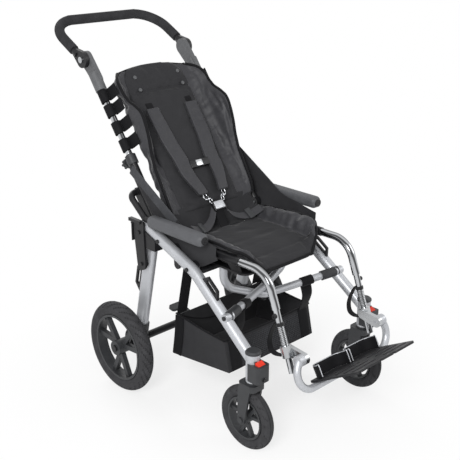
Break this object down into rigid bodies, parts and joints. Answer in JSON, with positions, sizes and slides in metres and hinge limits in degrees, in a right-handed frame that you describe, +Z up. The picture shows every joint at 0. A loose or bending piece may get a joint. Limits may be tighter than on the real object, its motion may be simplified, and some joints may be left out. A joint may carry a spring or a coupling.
{
  "type": "special needs buggy",
  "caption": "Folding push chair with a harnessed bucket seat, swivelling front casters, flip-up armrests, a telescopic push handle, an adjustable footrest and a basket.",
  "frame": {"origin": "on the ground, under the middle of the buggy's box", "axes": "+X to the seated person's left, +Y to the rear (push bar), +Z up; the footplate is at -Y"},
  "size_m": [0.6766, 1.2798, 1.1547],
  "materials": {
    "frame_silver": "satin anodised",
    "chrome": "polished",
    "bright_steel": "satin",
    "dark_plastic": "moulded, fine texture",
    "black_metal": "powder coat",
    "tyre_black": "moulded tread",
    "button_red": "moulded",
    "foam_black": "closed-cell foam",
    "arm_grey": "soft moulded skin",
    "footplate_black": "ribbed",
    "cloth_grey": "woven",
    "webbing_black": "woven webbing"
  },
  "bodies": {
    "frame": {"side_frame_right": "frame_silver", "side_frame_left": "frame_silver", "plastic_caps": "dark_plastic", "lock_housings": "dark_plastic", "cross_braces": "frame_silver", "frame_bolts": "bright_steel", "front_tie_downs": "black_metal", "fold_brackets": "black_metal", "armrest_brackets": "black_metal", "seat_base": "black_metal", "footrest_hangers": "chrome", "seat_pad": "cloth_grey", "seat_straps": "webbing_black", "basket": "webbing_black"},
    "rear_legs": {"rear_leg_right": "frame_silver", "rear_leg_left": "frame_silver", "rear_axle": "black_metal", "rear_tie_downs": "black_metal", "axle_housings": "dark_plastic"},
    "brake": {"brake_pedal": "dark_plastic"},
    "back": {"back_posts": "black_metal", "post_clamps": "dark_plastic", "back_pad": "cloth_grey", "back_loops": "webbing_black", "side_panels": "cloth_grey", "shoulder_straps": "cloth_grey", "chest_clip": "chrome", "buckle": "chrome"},
    "masts": {"mast_tubes": "chrome", "mast_sleeves": "dark_plastic"},
    "handle": {"push_bar": "black_metal", "foam_grip": "foam_black"},
    "footrest": {"extension_tubes": "chrome", "elbow_clamps": "bright_steel", "calf_straps": "webbing_black"},
    "footplate": {"footrest_bar": "bright_steel", "footplate": "footplate_black", "heel_loops": "webbing_black"},
    "caster_right": {"caster_fork_right": "dark_plastic"},
    "caster_wheel_right": {"caster_tyre_right": "tyre_black", "caster_rim_right": "dark_plastic"},
    "swivel_lock_right": {"lock_button_right": "button_red"},
    "fold_release_right": {"fold_lever_right": "black_metal"},
    "rear_wheel_right": {"rear_tyre_right": "tyre_black", "rear_rim_right": "dark_plastic"},
    "knob_right": {"clamp_knob_right": "dark_plastic"},
    "handle_button_right": {"joint_button_right": "bright_steel"},
    "armrest_right": {"armrest_tube_right": "black_metal", "armrest_pad_right": "arm_grey"},
    "caster_left": {"caster_fork_left": "dark_plastic"},
    "caster_wheel_left": {"caster_tyre_left": "tyre_black", "caster_rim_left": "dark_plastic"},
    "swivel_lock_left": {"lock_button_left": "button_red"},
    "fold_release_left": {"fold_lever_left": "black_metal"},
    "rear_wheel_left": {"rear_tyre_left": "tyre_black", "rear_rim_left": "dark_plastic"},
    "knob_left": {"clamp_knob_left": "dark_plastic"},
    "handle_button_left": {"joint_button_left": "bright_steel"},
    "armrest_left": {"armrest_tube_left": "black_metal", "armrest_pad_left": "arm_grey"}
  },
  "joints": [
    {"name": "rear_legs_fold", "type": "hinge", "parent": "frame", "child": "rear_legs", "pos_m": [0, 0.11883, 0.447], "axis": [-1, 0, 0], "range_deg": [0, 60], "deforming": ["basket"]},
    {"name": "brake_press", "type": "hinge", "parent": "rear_legs", "child": "brake", "pos_m": [0, 0.18482, 0.1515], "axis": [-1, 0, 0], "range_deg": [0, 25]},
    {"name": "back_fold", "type": "hinge", "parent": "frame", "child": "back", "pos_m": [0, 0.07883, 0.55384], "axis": [1, 0, 0], "range_deg": [0, 40], "deforming": ["side_panels", "seat_straps"]},
    {"name": "mast_extend", "type": "slide", "parent": "back", "child": "masts", "axis": [0, 0.5835, 0.8121], "range_m": [0, 0.1]},
    {"name": "handle_tilt", "type": "hinge", "parent": "masts", "child": "handle", "pos_m": [0, 0.43983, 1.038], "axis": [1, 0, 0], "range_deg": [-75, 50]},
    {"name": "footrest_extend", "type": "slide", "parent": "frame", "child": "footrest", "axis": [0, -0.3535, -0.9354], "range_m": [-0.005, 0.03]},
    {"name": "footplate_flip", "type": "hinge", "parent": "footrest", "child": "footplate", "pos_m": [0, -0.47483, 0.30991], "axis": [-1, 0, 0], "range_deg": [0, 90]},
    {"name": "caster_swivel_right", "type": "hinge", "parent": "frame", "child": "caster_right", "pos_m": [-0.253, -0.36118, 0], "axis": [0, 0, 1], "continuous": true},
    {"name": "caster_roll_right", "type": "hinge", "parent": "caster_right", "child": "caster_wheel_right", "pos_m": [-0.253, -0.34018, 0.1], "axis": [1, 0, 0], "continuous": true},
    {"name": "swivel_lock_press_right", "type": "slide", "parent": "frame", "child": "swivel_lock_right", "axis": [0, 0, -1], "range_m": [0, 0.004], "stiffness_N_per_m": 600},
    {"name": "fold_release_pull_right", "type": "hinge", "parent": "frame", "child": "fold_release_right", "pos_m": [-0.261, 0.15582, 0.5757], "axis": [1, 0, 0], "range_deg": [0, 20], "stiffness_Nm_per_rad": 1},
    {"name": "rear_roll_right", "type": "hinge", "parent": "rear_legs", "child": "rear_wheel_right", "pos_m": [-0.307, 0.18482, 0.1515], "axis": [1, 0, 0], "continuous": true},
    {"name": "knob_turn_right", "type": "hinge", "parent": "back", "child": "knob_right", "pos_m": [-0.206, 0.24557, 0.73448], "axis": [0, 0.8121, -0.5835], "range_deg": [0, 180]},
    {"name": "handle_button_press_right", "type": "slide", "parent": "handle", "child": "handle_button_right", "axis": [1, 0, 0], "range_m": [0, 0.003], "stiffness_N_per_m": 600},
    {"name": "armrest_flip_right", "type": "hinge", "parent": "frame", "child": "armrest_right", "pos_m": [-0.248, 0.18682, 0.657], "axis": [-1, 0, 0], "range_deg": [0, 100]},
    {"name": "caster_swivel_left", "type": "hinge", "parent": "frame", "child": "caster_left", "pos_m": [0.253, -0.36118, 0], "axis": [0, 0, 1], "continuous": true},
    {"name": "caster_roll_left", "type": "hinge", "parent": "caster_left", "child": "caster_wheel_left", "pos_m": [0.253, -0.34018, 0.1], "axis": [1, 0, 0], "continuous": true},
    {"name": "swivel_lock_press_left", "type": "slide", "parent": "frame", "child": "swivel_lock_left", "axis": [0, 0, -1], "range_m": [0, 0.004], "stiffness_N_per_m": 600},
    {"name": "fold_release_pull_left", "type": "hinge", "parent": "frame", "child": "fold_release_left", "pos_m": [0.261, 0.15582, 0.5757], "axis": [1, 0, 0], "range_deg": [0, 20], "stiffness_Nm_per_rad": 1},
    {"name": "rear_roll_left", "type": "hinge", "parent": "rear_legs", "child": "rear_wheel_left", "pos_m": [0.307, 0.18482, 0.1515], "axis": [1, 0, 0], "continuous": true},
    {"name": "knob_turn_left", "type": "hinge", "parent": "back", "child": "knob_left", "pos_m": [0.206, 0.24557, 0.73448], "axis": [0, 0.8121, -0.5835], "range_deg": [0, 180]},
    {"name": "handle_button_press_left", "type": "slide", "parent": "handle", "child": "handle_button_left", "axis": [-1, 0, 0], "range_m": [0, 0.003], "stiffness_N_per_m": 600},
    {"name": "armrest_flip_left", "type": "hinge", "parent": "frame", "child": "armrest_left", "pos_m": [0.248, 0.18682, 0.657], "axis": [-1, 0, 0], "range_deg": [0, 100]}
  ]
}
